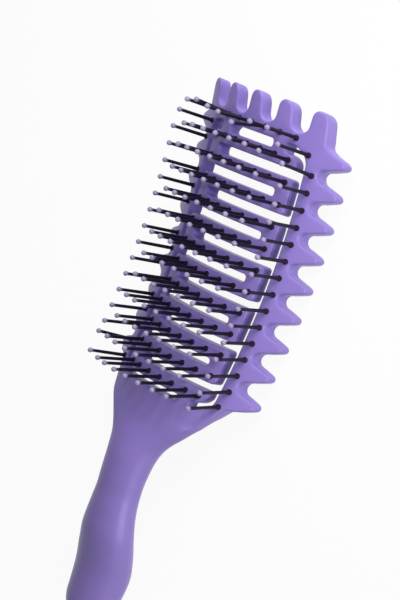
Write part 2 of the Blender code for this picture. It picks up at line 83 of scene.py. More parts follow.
# Bed and its slots
RIB_WIDTH = 5.35
LAST_RIB_WIDTH = 5.8
RIB_DROP = 0.85
BAR_BELOW = 3.0
NECK_BELOW = 5.8
SLOT_DRAFT = 0.25
SLOT_CORNER = 1.5
SLOT_REACH = 17.5
SLOT_REACH_BACK = 15.2
HANGER_INNER = 11.9
HANGER_OUTER = 17.6
BED_HALF = 23.3
BED_HALF_BACK = 22.9
LOOP_CORNER = 1.5
END_LOOP_CORNER = 4.4
BED_THICKNESS = 6.5

# Where the back steps from the bed's depth to the rails' depth: in the slits, at the neck and at the bar
STEP_IN_SLIT = 0.3
STEP_TO_RAIL = 0.6
NECK_STEP = 1.5
BAR_STEP = 3.2

# Side rails and their fins
SLIT = 3.3
SLIT_BACK = 1.7
SLIT_CORNER = 7.0
RAIL_WIDTH = 4.65
RAIL_THICKNESS = 7.6
FIN_COUNT = 9
FIN_REACH = 8.7
FIN_LEAD = 4.35
FIN_TAIL = 3.4
FIN_TIP_RADIUS = 1.85
FIN_TIP_THICKNESS = 5.9
VALLEY_RADIUS = 2.85
FIN_BELLY = 0.5
TOP_CORNER_RADIUS = 2.4
NECK_ROOT_INSET = 0.65
NECK_ROOT_DROP = 1.55

# Fins along the top
TOP_FIN_COUNT = 5
TOP_FIN_PITCH = 14.1
TOP_FIN_REACH = 13.1
TOP_FIN_WIDTH = 7.0
TOP_FIN_TIP_WIDTH = 6.3
TOP_FIN_TIP_LENGTH = 3.7
TOP_VALLEY = 2.35
TOP_VALLEY_DEPTH = 3.4
TOP_FIN_TIP_THICKNESS = 7.5

# Pins and strips
RAIL_PIN_COUNT = 16
RAIL_PIN_LEAD = 4.85
RAIL_PIN_TAIL = 1.0
RAIL_PIN_INSET = 1.75
FIRST_RAIL_PIN_IN = 2.8
LAST_RAIL_PIN_IN = 1.1
END_PIN_IN = 0.9
END_PIN_DROP = 0.6
PIN_LENGTH = 21.1
RAIL_PIN_LENGTH = 20.5
PIN_RADIUS = 0.78
PIN_TOP_RADIUS = 0.66
ROOT_RADIUS = 0.95
ROOT_DEPTH = 1.0
KNOB_RADIUS = 1.3
KNOB_SINK = 0.25
KNOB_DEGREES = (-30, -10, 10, 28, 44, 56)
FILLET_START = 0.12
FILLET_END = 0.45
FILLET_WIDTH = 0.07
SHAFT_SHARES = (0.3, 0.55, 0.8)
COLLAR_HEIGHT = 0.15
COLLAR_WIDTH = 0.06
BALL_RADIUS = 1.095
BALL_DEGREES = (-62, -45, -28, -12, 4, 20, 36, 52, 68, 80)
TIP_BULGE_SHARE = 0.08
PIN_SIDES = 14
BALL_SIDES = 16
STRIP_WIDTH = 2.2
RAIL_STRIP_WIDTH = 2.0
STRIP_END = 1.1
STRIP_CORNER = 0.8
STRIP_BEVEL = 0.2
SKIN = 2.4
GAP = 0.3
PIN_FAN = math.radians(4.1)
PIN_LEAN = math.radians(-2.2)
PIN_LEAN_CHANGE = math.radians(1.1)

# Neck and handle
NECK_LENGTH = 7.0
NECK_HALF_WIDTH = 25.0
NECK_THIN = 3.0
HANDLE_LENGTH = 101.8
HANDLE_HALF_WIDTH = 13.8
HANDLE_HALF_DEPTH = 11.0
HANDLE_ARCH = 5.9
GRIP_FLAT = 0.8
FLOOR_LEVEL = -24.335
HANDLE_STEP = 1.4
TAIL_STEPS = 14
TAIL_RISE = 0.6
TAIL_ROUNDNESS = 0.85

# How the handle starts from the neck: the slopes of its half width, centre height, half depth and squareness
NECK_SLOPE = 0.246
HANDLE_START_SLOPES = (-0.58, NECK_SLOPE / 2, NECK_SLOPE / 2, -0.12)

# Where the round valleys next to the neck and the top corner stop, as shares of half a turn
NECK_VALLEY_SHARE = 0.75
TOP_VALLEY_SHARE = 1.12

# Rounding of the rims. At the back it is small along the rails and the bar, and grows along fins and neck
OUTER_RIM = 0.95
SLOT_RIM = 0.6
BACK_RIM = 0.4
RAIL_BACK_RIM = 0.3
RAIL_BACK_RIM_RISE = 0.3
TOP_RIM_START = 1.0
RIM_STEPS = 4

# Sizes of the faces
RIM_SPACING = 0.6
SLOT_SPACING = 1.0
FACE_SPACING = 1.5
GRID_MARGIN_SHARE = 0.55
MERGE_DISTANCE = 0.000001

# How often the head's outline is softened, and the limit on the stretch of an offset at a sharp corner
OUTLINE_PASSES = 3
LEAST_COSINE = 0.6

# How many points are tried at a time against all edges
BATCH = 1000

# Steps round the arcs of the outlines
TIP_STEPS = 8
VALLEY_STEPS = 16
SLOT_CORNER_STEPS = 5
LOOP_CORNER_STEPS = 6
SLIT_CORNER_STEPS = 10
STRIP_CORNER_STEPS = 5

# The largest share of the room that a corner may take
FULL_CORNER_SHARE = 0.95
STRIP_CORNER_SHARE = 0.45

# The sine below which a bend counts as straight
STRAIGHT = 0.001

HALF = 0.5
HALF_TURN = math.pi
QUARTER_TURN = math.pi / 2

# Handle stations: share of its length, of its half width, of its arch, of its half depth, and how square
HANDLE_SHARES = (
    (0.065, 1.495, 0.71, 0.57, 0.30),
    (0.111, 1.217, 0.755, 0.70, 0.10),
    (0.157, 0.995, 0.83, 0.79, 0.0),
    (0.215, 0.855, 0.95, 0.823, 0.0),
    (0.273, 0.80, 1.00, 0.802, 0.0),
    (0.330, 0.775, 1.00, 0.78, 0.0),
    (0.388, 0.77, 0.92, 0.773, 0.0),
    (0.446, 0.805, 0.85, 0.80, 0.0),
    (0.504, 0.865, 0.71, 0.85, 0.0),
    (0.561, 0.93, 0.50, 0.914, 0.0),
    (0.650, 0.985, -0.02, 0.985, 0.0),
)

# Stations on the flat of the grip: share of the handle's length, of its half width and of its half depth
GRIP_SHARES = (
    (0.745, 1.0, 1.0),
    (0.865, 0.94, 0.92),
)
TAIL_START_SHARE = 0.865

# Pins that stand crooked: their line, which pin, and how far the tip leans across and along the head
CROOKED_SHARES = (
    ("row_01", 2, -0.026, 0.054),
    ("row_01", 4, -0.038, -0.035),
    ("row_01", 5, -0.017, -0.133),
    ("rail_right", 1, -0.091, 0.009),
    ("rail_right", 2, -0.084, 0.056),
    ("rail_left", 15, 0.0, 0.119),
    ("rail_left", 16, -0.009, 0.051),
)


def row_y(row):
    """Place along Y of a row, counted from 1 at the top bar."""
    return 0.0 if row == 1 else -FIRST_PITCH - ROW_PITCH * (row - 2)


LAST_ROW_Y = row_y(ROW_COUNT)
RAIL_INNER = BED_HALF + SLIT
RAIL_OUTER = RAIL_INNER + RAIL_WIDTH
RAIL_PIN_X = RAIL_OUTER - RAIL_PIN_INSET
FIN_TIP_X = RAIL_OUTER + FIN_REACH
FIN_PITCH = (-LAST_ROW_Y - FIN_LEAD - FIN_TAIL) / (FIN_COUNT - 1)
BAR_EDGE = -BAR_BELOW
NECK_EDGE = LAST_ROW_Y - NECK_BELOW
NECK_END = NECK_EDGE - NECK_LENGTH


def rib_edges(row, draft):
    """Lower and upper edge of a rib of the bed. The ribs near the bar lie lower than their pins."""
    share = (row - 2) / (ROW_COUNT - 2)
    middle = row_y(row) - RIB_DROP * (1 - share)
    half = (RIB_WIDTH + (LAST_RIB_WIDTH - RIB_WIDTH) * share) / 2 + draft
    return middle - half, middle + half


def face_height(x, y):
    """Height of the head's curved face."""
    along = (y + FACE_HALF_LENGTH) / FACE_HALF_LENGTH
    return END_RISE * along ** 2 + SKEW_RISE * along ** 3 - x ** 2 / (2 * ACROSS_RADIUS)


def lift(flat, depth):
    """Points of the flat pattern brought to a depth below the curved face."""
    x, y = flat[:, 0], flat[:, 1]
    return np.column_stack([x, y, face_height(x, y) - depth])


def smooth_step(low, high, value):
    """0 below low, 1 above high, and a smooth rise between."""
    share = np.clip((value - low) / (high - low), 0.0, 1.0)
    return share * share * (3 - 2 * share)


def thickness(x, y):
    """Depth of the moulding: the bed is thinner than the rails, and the fins thin out to their tips."""
    side = np.clip((np.abs(x) - RAIL_OUTER) / FIN_REACH, 0.0, 1.0)
    top = np.clip((y - TOP_VALLEY) / (TOP_FIN_REACH - TOP_VALLEY), 0.0, 1.0)
    full = RAIL_THICKNESS - np.maximum((RAIL_THICKNESS - FIN_TIP_THICKNESS) * side,
                                       (RAIL_THICKNESS - TOP_FIN_TIP_THICKNESS) * top)
    in_bed = 1 - smooth_step(BED_HALF + STEP_IN_SLIT, RAIL_INNER - STEP_TO_RAIL, np.abs(x))
    in_bed = in_bed * smooth_step(NECK_EDGE - NECK_STEP, NECK_EDGE + NECK_STEP, y)
    in_bed = in_bed * (1 - smooth_step(BAR_EDGE - BAR_STEP, BAR_EDGE, y))
    at_neck = NECK_THIN * (1 - smooth_step(NECK_END, LAST_ROW_Y, y))
    full = full - at_neck * np.clip(np.abs(x) / NECK_HALF_WIDTH, 0.0, 1.0) ** 2
    return full + (BED_THICKNESS - RAIL_THICKNESS) * in_bed


def to_world(point):
    """A point of the head's frame in the row frame, in metres."""
    x, y, z = point
    cos, sin = math.cos(REST_TILT), math.sin(REST_TILT)
    return ((x + REST_SHIFT[0]) * MM, (cos * y - sin * z + REST_SHIFT[1]) * MM,
            (sin * y + cos * z + REST_SHIFT[2]) * MM)


# Flat pattern


def arc(x, y, radius_x, radius_y, start, end, steps):
    """Points round an arc, with both of its ends."""
    turns = [start + (end - start) * step / steps for step in range(steps + 1)]
    return [(x + radius_x * math.cos(turn), y + radius_y * math.sin(turn)) for turn in turns]


def flank_turn(reach, half):
    """How far a fin's flank turns from straight out, from its root to where it meets the round tip."""
    return math.atan2(half, reach) - math.asin(FIN_TIP_RADIUS / math.hypot(half, reach))


def fin_outline(tip_y):
    """One side fin from its lower root to its upper root, with X outward."""
    base_x = RAIL_OUTER + VALLEY_RADIUS
    low = FIN_PITCH / 2 - VALLEY_RADIUS + FIN_BELLY / 2
    high = FIN_PITCH / 2 - VALLEY_RADIUS - FIN_BELLY / 2
    reach = FIN_TIP_X - FIN_TIP_RADIUS - base_x
    tip = arc(FIN_TIP_X - FIN_TIP_RADIUS, tip_y, FIN_TIP_RADIUS, FIN_TIP_RADIUS,
              flank_turn(reach, low) - QUARTER_TURN, QUARTER_TURN - flank_turn(reach, high), TIP_STEPS)
    return [(base_x, tip_y - low)] + tip + [(base_x, tip_y + high)]


def valley_outline(y, start, end, steps):
    """The round valley between two side fins, with X outward."""
    x = RAIL_OUTER + VALLEY_RADIUS
    return arc(x, y - FIN_BELLY / 2, VALLEY_RADIUS, VALLEY_RADIUS, start, end, steps)[1:-1]


def side_outline():
    """The right side of the head from the neck to the first side fin."""
    neck_valley = -FIN_LEAD - FIN_PITCH * (FIN_COUNT - HALF)
    points = [(NECK_HALF_WIDTH, NECK_END), (RAIL_OUTER - NECK_ROOT_INSET, neck_valley + NECK_ROOT_DROP)]
    points += valley_outline(neck_valley, HALF_TURN * NECK_VALLEY_SHARE, QUARTER_TURN, VALLEY_STEPS // 2)
    for fin in reversed(range(FIN_COUNT)):
        tip_y = -FIN_LEAD - FIN_PITCH * fin
        points += fin_outline(tip_y)
        above = tip_y + FIN_PITCH / 2
        if fin > 0:
            points += valley_outline(above, 3 * QUARTER_TURN, QUARTER_TURN, VALLEY_STEPS)
        else:
            x = RAIL_OUTER + VALLEY_RADIUS
            points += arc(x, above - FIN_BELLY / 2, TOP_CORNER_RADIUS, TOP_CORNER_RADIUS,
                          3 * QUARTER_TURN, HALF_TURN * TOP_VALLEY_SHARE, VALLEY_STEPS // 2)
    return points


def top_outline():
    """The top fins and the valleys between them, from right to left."""
    points = []
    half_count = (TOP_FIN_COUNT - 1) / 2
    base_y = TOP_VALLEY + TOP_VALLEY_DEPTH
    for fin in range(TOP_FIN_COUNT):
        centre = TOP_FIN_PITCH * (half_count - fin)
        points.append((centre + TOP_FIN_WIDTH / 2, base_y))
        points += arc(centre, TOP_FIN_REACH - TOP_FIN_TIP_LENGTH, TOP_FIN_TIP_WIDTH / 2,
                      TOP_FIN_TIP_LENGTH, 0.0, HALF_TURN, VALLEY_STEPS)
        points.append((centre - TOP_FIN_WIDTH / 2, base_y))
        if fin < TOP_FIN_COUNT - 1:
            points += arc(centre - TOP_FIN_PITCH / 2, base_y, (TOP_FIN_PITCH - TOP_FIN_WIDTH) / 2,
                          TOP_VALLEY_DEPTH, 0.0, -HALF_TURN, VALLEY_STEPS)[1:-1]
    return points


def slot_end(x, low, high, room):
    """The closed end of a slot, from its lower edge to its upper edge, with corners that fit in the room."""
    corner = min(SLOT_CORNER, FULL_CORNER_SHARE * min((high - low) / 2, room))
    x += corner
    points = arc(x, low + corner, corner, corner, -QUARTER_TURN, -HALF_TURN, SLOT_CORNER_STEPS)
    return points + arc(x, high - corner, corner, corner, HALF_TURN, QUARTER_TURN, SLOT_CORNER_STEPS)


def block_side(x, first, last, draft):
    """The outer side of a loop of the bed, from its lower corner to its upper one."""
    low = rib_edges(first, draft)[0]
    high = rib_edges(last, draft)[1]
    at_neck = END_LOOP_CORNER if first == ROW_COUNT else LOOP_CORNER
    at_bar = END_LOOP_CORNER if last == 2 else LOOP_CORNER
    room = (high - low) / (at_neck + at_bar) * FULL_CORNER_SHARE
    lower = at_neck * min(1.0, room)
    upper = at_bar * min(1.0, room)
    points = arc(x - lower, low + lower, lower, lower, -QUARTER_TURN, 0.0, LOOP_CORNER_STEPS)
    return points + arc(x - upper, high - upper, upper, upper, 0.0, QUARTER_TURN, LOOP_CORNER_STEPS)


def comb_outline(side, back):
    """One slit with the slots that open into it, at the face or at the back of the bed."""
    draft = SLOT_DRAFT if back else 0.0
    reach = SLOT_REACH_BACK if back else SLOT_REACH
    bed = BED_HALF_BACK if back else BED_HALF
    rail = bed + (SLIT_BACK if back else SLIT)
    straight_end = bed - END_LOOP_CORNER
    top = BAR_EDGE - draft
    bottom = NECK_EDGE + draft
    first_slot = ROW_COUNT - 1 if side > 0 else ROW_COUNT - 2
    corner = min(SLIT_CORNER, (rail - HANGER_OUTER - draft - SLOT_CORNER) * FULL_CORNER_SHARE)

    points = arc(rail - corner, top - corner, corner, corner, QUARTER_TURN, 0.0, SLIT_CORNER_STEPS)
    points += arc(rail - corner, bottom + corner, corner, corner, 0.0, -QUARTER_TURN, SLIT_CORNER_STEPS)
    low_edge = bottom
    end = HANGER_OUTER + draft if side > 0 else -HANGER_INNER + draft
    block_low = ROW_COUNT
    for slot in list(range(first_slot, 0, -2)) + [1] * (side > 0):
        high_edge = rib_edges(block_low, draft)[0]
        points += slot_end(end, low_edge, high_edge, straight_end - end)
        low_edge = rib_edges(slot + 1, draft)[1]
        points += block_side(bed, block_low, slot + 1, draft)
        block_low = slot
        end = -reach
    end = HANGER_OUTER + draft
    points += slot_end(end, low_edge, top, straight_end - end)
    return [(side * x, y) for x, y in points]


def first_slot_outline(back):
    """The slot between the top bar and the second row, closed at both ends."""
    draft = SLOT_DRAFT if back else 0.0
    low = rib_edges(2, draft)[1]
    high = BAR_EDGE - draft
    left = slot_end(draft - HANGER_INNER, low, high, HANGER_INNER)
    return left + [(-x, y) for x, y in reversed(left)]


def pin_places(row):
    """Where the pins of a row stand."""
    pitch = BAR_PIN_PITCH if row == 1 else PIN_PITCH
    half = (ROW_PIN_COUNT - 1) / 2
    places = [((pin - half) * pitch, row_y(row)) for pin in range(ROW_PIN_COUNT)]
    if row in (2, ROW_COUNT):
        y = row_y(row) - (END_PIN_DROP if row == 2 else 0.0)
        end = half * pitch - END_PIN_IN
        places = [(-end, y)] + places[1:-1] + [(end, y)]
    return places


def rail_pin_places(side):
    """Where the pins of a rail stand."""
    last = LAST_ROW_Y - RAIL_PIN_TAIL
    step = (-last - RAIL_PIN_LEAD) / (RAIL_PIN_COUNT - 1)
    insets = [FIRST_RAIL_PIN_IN] + [0.0] * (RAIL_PIN_COUNT - 2) + [LAST_RAIL_PIN_IN]
    return [(side * (RAIL_PIN_X - inset), -RAIL_PIN_LEAD - step * pin) for pin, inset in enumerate(insets)]


def round_corners(points, radius):
    """A closed outline with its corners rounded."""
    result = []
    count = len(points)
    for index in range(count):
        here = Vector(points[index])
        before = Vector(points[index - 1]) - here
        after = Vector(points[(index + 1) % count]) - here
        turn = HALF_TURN - before.angle(after)
        room = min(before.length, after.length) * STRIP_CORNER_SHARE
        reach = min(radius * math.tan(turn / 2), room)
        first = here + before.normalized() * reach
        last = here + after.normalized() * reach
        for step in range(STRIP_CORNER_STEPS + 1):
            share = step / STRIP_CORNER_STEPS
            point = first * (1 - share) ** 2 + here * (2 * share * (1 - share)) + last * share ** 2
            result.append(tuple(point))
    return result


def strip_outline(places, width, margin):
    """The outline of a strip under a line of pins, grown by a margin. It bends where the line bends."""
    half = width / 2 + margin
    end = STRIP_END + margin
    pins = [Vector(place) for place in places]
    ways = [(after - before).normalized() for before, after in zip(pins, pins[1:])]
    line = [(pins[0] - ways[0] * end, ways[0], ways[0])]
    for pin, before, after in zip(pins[1:], ways, ways[1:]):
        if abs(before.cross(after)) > STRAIGHT:
            line.append((pin, before, after))
    line.append((pins[-1] + ways[-1] * end, ways[-1], ways[-1]))
    right = []
    left = []
    for place, before, after in line:
        side = Vector((before.y + after.y, -before.x - after.x)) * half / (1 + before.dot(after))
        right.append(tuple(place + side))
        left.append(tuple(place - side))
    return round_corners(right + left[::-1], STRIP_CORNER + margin)


def strip_ring(places, width, margin):
    """The outline of a strip, cut into short steps."""
    corners = strip_outline(places, width, margin)
    return split_pair(corners, corners, FACE_SPACING)[0]


def lines_of_pins():
    """Every line of pins: its name, the places of its pins, its strip's width and its pins' length."""
    lines = []
    for row in range(1, ROW_COUNT + 1):
        lines.append((f"row_{row:02d}", pin_places(row), STRIP_WIDTH, PIN_LENGTH))
    lines.append(("rail_left", rail_pin_places(-1), RAIL_STRIP_WIDTH, RAIL_PIN_LENGTH))
    lines.append(("rail_right", rail_pin_places(1), RAIL_STRIP_WIDTH, RAIL_PIN_LENGTH))
    return lines


# Rings of points


def split_pair(first, second, spacing):
    """Cut the sides of two closed outlines, which match point by point, into equally many short steps."""
    first, second = np.array(first), np.array(second)
    count = len(first)
    new_first, new_second = [], []
    for index in range(count):
        after = (index + 1) % count
        start, way = first[index], first[after] - first[index]
        other, other_way = second[index], second[after] - second[index]
        steps = max(1, math.ceil(max(np.linalg.norm(way), np.linalg.norm(other_way)) / spacing))
        for step in range(steps):
            new_first.append(start + way * step / steps)
            new_second.append(other + other_way * step / steps)
    return np.array(new_first), np.array(new_second)


def even_steps(points, spacing):
    """An open line cut into equal steps along its length."""
    points = np.array(points)
    lengths = np.concatenate([[0.0], np.cumsum(np.linalg.norm(np.diff(points, axis=0), axis=1))])
    count = int(round(lengths[-1] / spacing))
    places = np.linspace(0.0, lengths[-1], count + 1)
    return np.column_stack([np.interp(places, lengths, points[:, axis]) for axis in range(2)])


def soften(points, passes):
    """Round the corners of an open line a little, with its ends kept."""
    points = points.copy()
    for _ in range(passes):
        points[1:-1] = (points[:-2] + 2 * points[1:-1] + points[2:]) / 4
    return points


def offset(points, distance, closed):
    """Points moved to the left of their line. The ends of an open line slide along X alone."""
    if closed:
        before = points - np.roll(points, 1, axis=0)
        after = np.roll(points, -1, axis=0) - points
    else:
        steps = np.diff(points, axis=0)
        before = np.vstack([steps[:1], steps])
        after = np.vstack([steps, steps[-1:]])
    before /= np.linalg.norm(before, axis=1)[:, None]
    after /= np.linalg.norm(after, axis=1)[:, None]
    along = before + after
    along /= np.linalg.norm(along, axis=1)[:, None]
    normals = np.column_stack([-along[:, 1], along[:, 0]])
    stretch = 1 / np.clip((before * along).sum(axis=1), LEAST_COSINE, 1.0)
    moves = normals * (distance * stretch)[:, None]
    if not closed:
        for end in (0, -1):
            moves[end] = (distance[end] / normals[end, 0], 0.0)
    return points + moves


def turns_left(points):
    """Whether a closed outline runs anticlockwise."""
    after = np.roll(points, -1, axis=0)
    return (points[:, 0] * after[:, 1] - points[:, 1] * after[:, 0]).sum() > 0


def rim_rings(face_radius, back_radius):
    """Each ring down a wall: its inset, its distance from the face or the back, and whether from the face."""
    turns = [QUARTER_TURN * step / RIM_STEPS for step in range(RIM_STEPS + 1)]
    curve = [(1 - math.sin(turn), 1 - math.cos(turn)) for turn in turns]
    rings = [(face_radius * inset, face_radius * depth, True) for inset, depth in curve]
    rings.append((0.0, RAIL_THICKNESS / 2, True))
    rings += [(back_radius * inset, back_radius * depth, False) for inset, depth in reversed(curve)]
    return rings


class Surface:
    """Points and faces of one piece in the head's frame."""

    def __init__(self):
        self.points = []
        self.faces = []
        self.sharp = set()

    def add(self, points):
        """Add points and give their numbers."""
        start = len(self.points)
        self.points.extend(tuple(float(value) for value in point) for point in points)
        return list(range(start, len(self.points)))

    def band(self, first, second, closed=True):
        """Faces between two rings or lines with equal counts."""
        count = len(first)
        for index in range(count if closed else count - 1):
            after = (index + 1) % count
            self.faces.append((first[index], first[after], second[after], second[index]))

    def fan(self, ring, centre):
        """Faces from a ring to one point."""
        tip = self.add([centre])[0]
        for first, second in zip(ring, ring[1:] + ring[:1]):
            self.faces.append((first, second, tip))

    def crease(self, ring):
        """Mark the edges of a ring as sharp."""
        for first, second in zip(ring, ring[1:] + ring[:1]):
            self.sharp.add((min(first, second), max(first, second)))

    def fill(self, rings, height):
        """Triangles inside the first ring and outside the others. Height is a function of X and Y."""
        flat = np.array([self.points[number][:2] for ring in rings for number in ring])
        numbers = [number for ring in rings for number in ring]
        edges = []
        start = 0
        for ring in rings:
            count = len(ring)
            edges += [(start + index, start + (index + 1) % count) for index in range(count)]
            start += count
        ends = np.array([(flat[a], flat[b]) for a, b in edges])
        inner = grid_points(flat, ends)
        coords = [Vector(point) for point in np.vstack([flat, inner])]
        found = delaunay_2d_cdt(coords, edges, [], 0, MERGE_DISTANCE, True)
        points, triangles, origins = found[0], found[2], found[3]
        inner_numbers = self.add([(x, y, height(x, y)) for x, y in inner])
        all_numbers = numbers + inner_numbers
        corners = np.array([[tuple(points[corner]) for corner in triangle] for triangle in triangles])
        kept = inside(corners.mean(axis=1), ends)
        for triangle, keep in zip(triangles, kept):
            if keep:
                self.faces.append(tuple(all_numbers[origins[corner][0]] for corner in triangle))

    def make(self, name, material, slot):
        """The piece as an object, in the row frame."""
        mesh = bpy.data.meshes.new(name)
        mesh.from_pydata([to_world(point) for point in self.points], [], self.faces)
        bm = bmesh.new()
        bm.from_mesh(mesh)
        bmesh.ops.recalc_face_normals(bm, faces=bm.faces[:])
        for edge in bm.edges:
            first, second = (vert.index for vert in edge.verts)
            edge.smooth = (min(first, second), max(first, second)) not in self.sharp
        for face in bm.faces:
            face.smooth = True
        bm.to_mesh(mesh)
        bm.free()
        mesh.materials.append(material)
        piece = bpy.data.objects.new(name, mesh)
        bpy.context.scene.collection.objects.link(piece)
        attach(piece, "root")
        return piece


def inside(points, ends):
    """Whether each point lies inside the rings made of these edges, with holes left out."""
    result = np.zeros(len(points), bool)
    for start in range(0, len(points), BATCH):
        batch = points[start:start + BATCH]
        x, y = batch[:, 0, None], batch[:, 1, None]
        x0, y0, x1, y1 = ends[:, 0, 0], ends[:, 0, 1], ends[:, 1, 0], ends[:, 1, 1]
        crosses = (y0 > y) != (y1 > y)
        with np.errstate(divide="ignore", invalid="ignore"):
            reach = x0 + (y - y0) * (x1 - x0) / (y1 - y0)
        result[start:start + BATCH] = (crosses & (x < reach)).sum(axis=1) % 2 == 1
    return result


def nearest(points, ends):
    """Distance from each point to the nearest edge."""
    result = np.zeros(len(points))
    base, way = ends[:, 0], ends[:, 1] - ends[:, 0]
    for start in range(0, len(points), BATCH):
        arms = points[start:start + BATCH, None, :] - base[None]
        share = np.clip((arms * way).sum(axis=2) / (way * way).sum(axis=1), 0.0, 1.0)
        result[start:start + BATCH] = np.linalg.norm(arms - share[:, :, None] * way, axis=2).min(axis=1)
    return result


def grid_points(flat, ends):
    """Points of a triangle grid inside the rings and clear of their edges."""
    low, high = flat.min(axis=0), flat.max(axis=0)
    rows = np.arange(low[1], high[1], FACE_SPACING * math.sqrt(3) / 2)
    points = []
    for index, y in enumerate(rows):
        shift = FACE_SPACING / 2 * (index % 2)
        points += [(x, y) for x in np.arange(low[0] + shift, high[0], FACE_SPACING)]
    points = np.array(points)
    points = points[inside(points, ends)]
    return points[nearest(points, ends) > FACE_SPACING * GRID_MARGIN_SHARE]


# The moulding


def add_wall(surface, at_face, at_back, face_radius, back_radius, side, closed):
    """A wall from the face to the back with rounded rims. Side is 1 where the material is to the left."""
    ones = np.ones(len(at_face))
    rings = []
    for inset, depth, from_face in rim_rings(face_radius, back_radius * ones):
        depth = depth * ones
        nominal = depth if from_face else RAIL_THICKNESS - depth
        share = (nominal / RAIL_THICKNESS)[:, None]
        outline = at_face + (at_back - at_face) * share
        outline = offset(outline, side * inset * ones, closed)
        x, y = outline[:, 0], outline[:, 1]
        below = np.minimum(depth, thickness(x, y) / 2) if from_face else thickness(x, y) - depth
        ring = surface.add(lift(outline, below))
        if rings:
            surface.band(rings[-1], ring, closed)
        rings.append(ring)
    return rings


def hermite(stations, at):
    """Smooth values between stations, whose first column is the place and the rest are values."""
    places, values = stations[:, 0], stations[:, 1:]
    slopes = np.gradient(values, places, axis=0)
    slopes[0] = HANDLE_START_SLOPES
    index = np.clip(np.searchsorted(places, at, side="right") - 1, 0, len(places) - 2)
    step = places[index + 1] - places[index]
    t = (at - places[index]) / step
    return ((2 * t ** 3 - 3 * t ** 2 + 1) * values[index] + (t ** 3 - 2 * t ** 2 + t) * step * slopes[index]
            + (-2 * t ** 3 + 3 * t ** 2) * values[index + 1] + (t ** 3 - t ** 2) * step * slopes[index + 1])


def rest_height(y):
    """Height of the plane that the brush lies on, in the head's frame."""
    return FLOOR_LEVEL - y * math.tan(REST_TILT)


def handle_sections():
    """Each section of the handle: how far along, half width, centre height, half depth and squareness."""
    first = (0.0, NECK_HALF_WIDTH, face_height(0.0, NECK_END) - RAIL_THICKNESS / 2, RAIL_THICKNESS / 2, 1.0)
    stations = [first]
    for along, width, arch, depth, square in HANDLE_SHARES:
        stations.append((along * HANDLE_LENGTH, width * HANDLE_HALF_WIDTH, arch * HANDLE_ARCH,
                         depth * HANDLE_HALF_DEPTH, square))
    for along, width, depth in GRIP_SHARES:
        half_depth = depth * HANDLE_HALF_DEPTH
        floor = rest_height(NECK_END - along * HANDLE_LENGTH)
        stations.append((along * HANDLE_LENGTH, width * HANDLE_HALF_WIDTH,
                         floor + half_depth - GRIP_FLAT, half_depth, 0.0))
    stations = np.array(stations)
    start = TAIL_START_SHARE * HANDLE_LENGTH
    sections = []
    for along in np.linspace(0.0, start, int(start / HANDLE_STEP) + 1)[1:]:
        sections.append([along, *hermite(stations, along)])
    last = sections[-1]
    for step in range(1, TAIL_STEPS):
        turn = QUARTER_TURN * step / TAIL_STEPS
        along = start + (HANDLE_LENGTH - start) * math.sin(turn)
        shrink = math.cos(turn) ** TAIL_ROUNDNESS
        floor = rest_height(NECK_END - along)
        rise = last[2] - rest_height(NECK_END - start) + TAIL_RISE * (1 - shrink)
        sections.append([along, last[1] * shrink, floor + rise, last[3] * shrink, 0.0])
    return sections


def add_handle(surface, ring):
    """Loft the handle from the ring at the neck's open end."""
    middle = face_height(0.0, NECK_END) - RAIL_THICKNESS / 2
    start = np.array([surface.points[number] for number in ring])
    across = start[:, 0] / NECK_HALF_WIDTH
    up = (start[:, 2] - middle + start[:, 0] ** 2 / (2 * ACROSS_RADIUS)) / (RAIL_THICKNESS / 2)
    turns = np.arctan2(up, across)
    sections = handle_sections()
    last_ring = ring
    for along, half_width, centre, half_depth, square in sections:
        y = NECK_END - along
        square = max(0.0, square)
        x = half_width * (square * across + (1 - square) * np.cos(turns))
        bulge = half_depth * (square * up + (1 - square) * np.sin(turns))
        z = np.maximum(centre + bulge - square * x ** 2 / (2 * ACROSS_RADIUS), rest_height(y))
        new_ring = surface.add(np.column_stack([x, np.full(len(x), y), z]))
        surface.band(last_ring, new_ring)
        last_ring = new_ring
    surface.fan(last_ring, (0.0, NECK_END - HANDLE_LENGTH, sections[-1][2]))


def add_outer_wall(surface):
    """The wall round the head, from the right end of the neck round the fins to its left end."""
    right = side_outline()
    left = [(-x, y) for x, y in reversed(right)]
    chain = soften(even_steps(right + top_outline() + left, RIM_SPACING), OUTLINE_PASSES)
    beyond = np.maximum(np.abs(chain[:, 0]) - RAIL_OUTER, chain[:, 1] - TOP_VALLEY - TOP_RIM_START)
    beyond = np.maximum(beyond, NECK_EDGE - chain[:, 1])
    back_rim = np.clip(RAIL_BACK_RIM + RAIL_BACK_RIM_RISE * beyond, RAIL_BACK_RIM, OUTER_RIM)
    return add_wall(surface, chain, chain, OUTER_RIM, back_rim, 1, False)


def add_slots(surface):
    """The walls of the slits and slots. Gives their rings at the face and at the back."""
    face_rings = []
    back_rings = []
    for at_face, at_back in ((comb_outline(1, False), comb_outline(1, True)),
                             (comb_outline(-1, False), comb_outline(-1, True)),
                             (first_slot_outline(False), first_slot_outline(True))):
        at_face, at_back = split_pair(at_face, at_back, SLOT_SPACING)
        side = -1 if turns_left(at_face) else 1
        rings = add_wall(surface, at_face, at_back, SLOT_RIM, BACK_RIM, side, True)
        face_rings.append(rings[0])
        back_rings.append(rings[-1])
    return face_rings, back_rings


def add_channel(surface, places, width):
    """The channel in the back for the strip of a line of pins. Gives the ring of its mouth."""
    ring = strip_ring(places, width, GAP)
    mouth = surface.add(lift(ring, thickness(ring[:, 0], ring[:, 1])))
    ceiling = surface.add(lift(ring, SKIN))
    surface.band(mouth, ceiling)
    surface.crease(mouth)
    surface.crease(ceiling)
    surface.fill([ceiling], lambda x, y: face_height(x, y) - SKIN)
    return mouth


